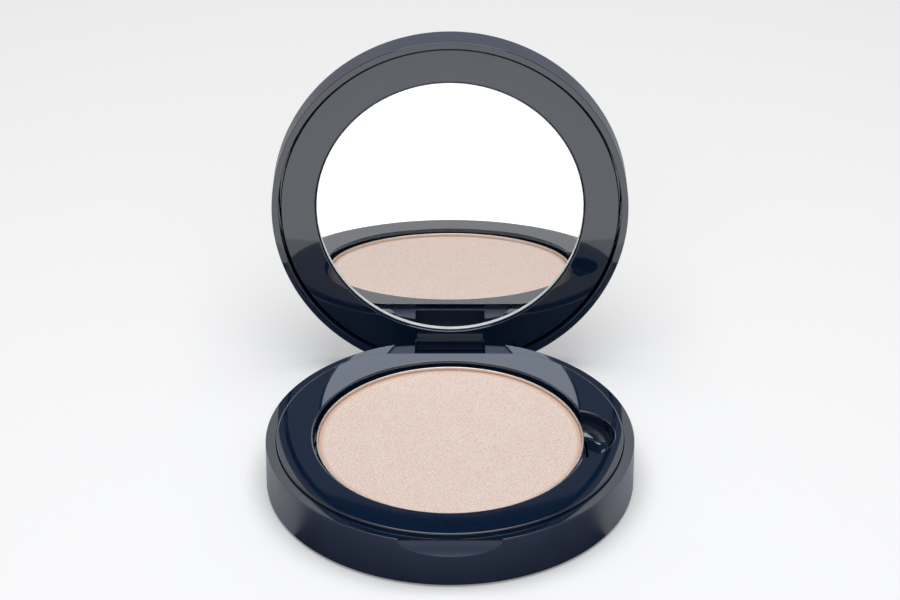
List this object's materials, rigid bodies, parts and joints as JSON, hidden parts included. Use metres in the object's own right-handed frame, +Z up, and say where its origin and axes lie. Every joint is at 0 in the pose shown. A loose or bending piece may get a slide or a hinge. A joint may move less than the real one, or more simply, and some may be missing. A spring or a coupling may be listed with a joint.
{
  "type": "powder compact",
  "caption": "Round hinged powder compact, open: low base with a raised frame, thumb notch and lift-out pan of pressed powder, and a lid that holds a round mirror.",
  "frame": {"origin": "middle of the flat underside, on the surface that the base stands on", "axes": "+Z up, +Y from the front towards the hinge at the back, +X to the right of someone facing the open mirror"},
  "size_m": [0.08, 0.1006, 0.0799],
  "materials": {
    "shell_plastic": "fine satin moulded surface, dark navy",
    "frame_plastic": "polished moulded surface, dark navy",
    "label": "blank self-adhesive paper label",
    "foam": "thin foam with adhesive faces",
    "pan_metal": "drawn aluminium sheet, bright",
    "powder": "pressed powder with a fine woven imprint",
    "pin_steel": "drawn steel wire",
    "mirror_glass": "silvered float glass with a ground edge"
  },
  "bodies": {
    "base": {"base_shell": "shell_plastic", "base_frame": "frame_plastic", "base_label": "label", "pan_pad": "foam", "hinge_pin": "pin_steel"},
    "refill": {"powder_pan": "pan_metal", "pressed_powder": "powder"},
    "lid": {"lid_shell": "shell_plastic", "mirror_frame": "frame_plastic", "mirror": "mirror_glass", "mirror_tape": "foam"}
  },
  "joints": [
    {"name": "lid_hinge", "type": "hinge", "parent": "base", "child": "lid", "pos_m": [0, 0.03675, 0.0046], "axis": [1, 0, 0], "range_deg": [0, 97.1]},
    {"name": "pan_lift", "type": "slide", "parent": "base", "child": "refill", "axis": [0, 0, 1], "range_m": [0, 0.0014]}
  ]
}
